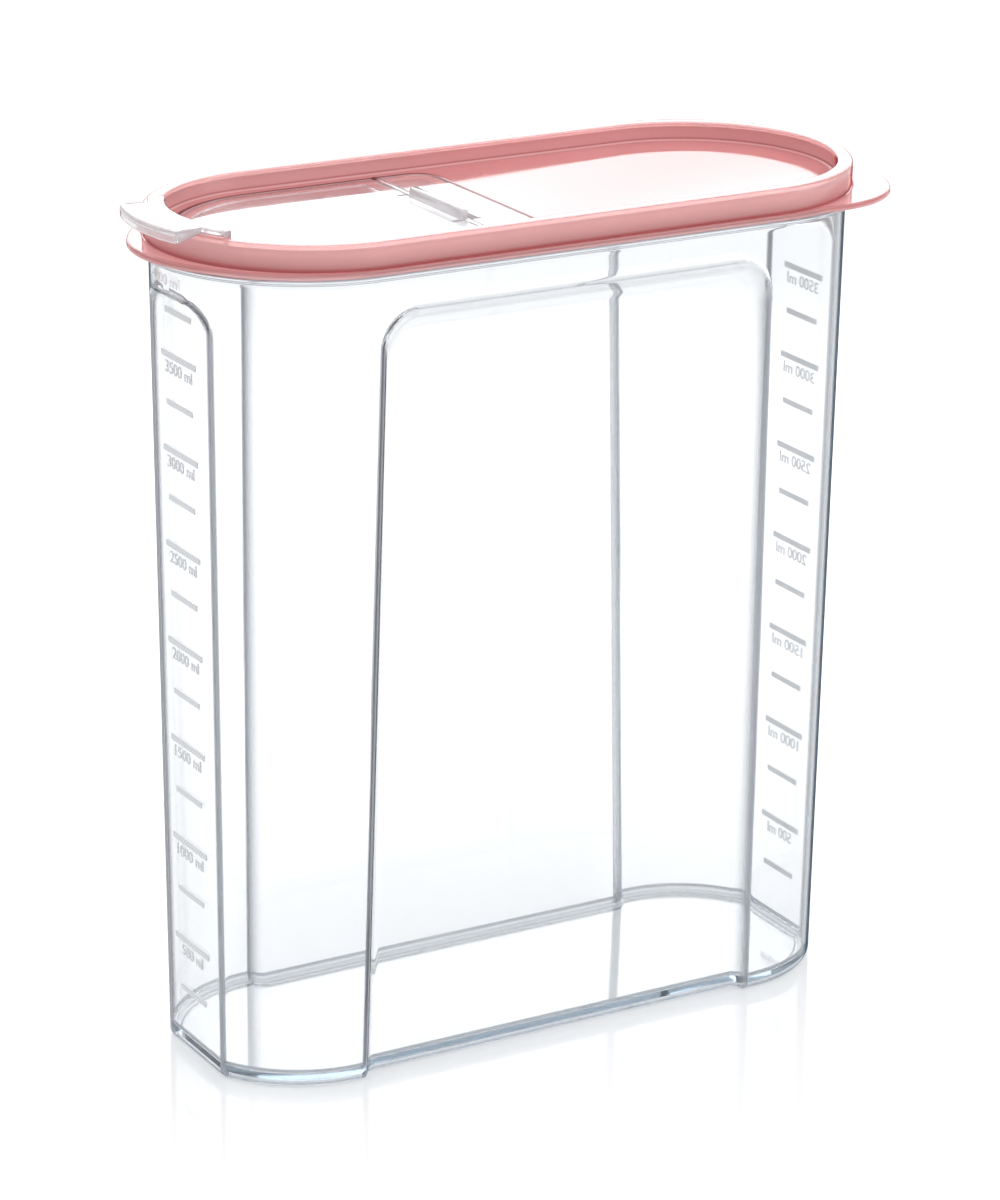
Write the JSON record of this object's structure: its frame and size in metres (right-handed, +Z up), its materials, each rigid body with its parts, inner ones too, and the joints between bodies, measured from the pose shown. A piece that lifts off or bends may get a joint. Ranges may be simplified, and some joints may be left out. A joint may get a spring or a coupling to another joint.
{
  "type": "cereal container",
  "caption": "Tall oblong dry-food container, clear with recessed sides and flat ends, under a tinted lift-off lid whose clear cover flips up on a hinge to pour.",
  "frame": {"origin": "centre of the container's footprint, at the level of the foot it stands on", "axes": "+Z up, +X along the long side towards the lid's pull tab, so -X is the end that pours, and +Y across the thickness"},
  "size_m": [0.2454, 0.1016, 0.2685],
  "materials": {
    "clear": "gloss",
    "tinted": "gloss",
    "clear_cover": "gloss",
    "clear_pin": "gloss"
  },
  "bodies": {
    "container": {"container": "clear"},
    "lid": {"lid_frame": "tinted", "hinge_plate": "clear_cover"},
    "cover": {"flip_cover": "clear_cover", "hinge_pin": "clear_pin"}
  },
  "joints": [
    {"name": "lid_lift", "type": "slide", "parent": "container", "child": "lid", "axis": [0, 0, 1], "range_m": [0, 0.06]},
    {"name": "cover_hinge", "type": "hinge", "parent": "lid", "child": "cover", "pos_m": [-0.0232, 0, 0.2599], "axis": [0, 1, 0], "range_deg": [0, 120]}
  ]
}
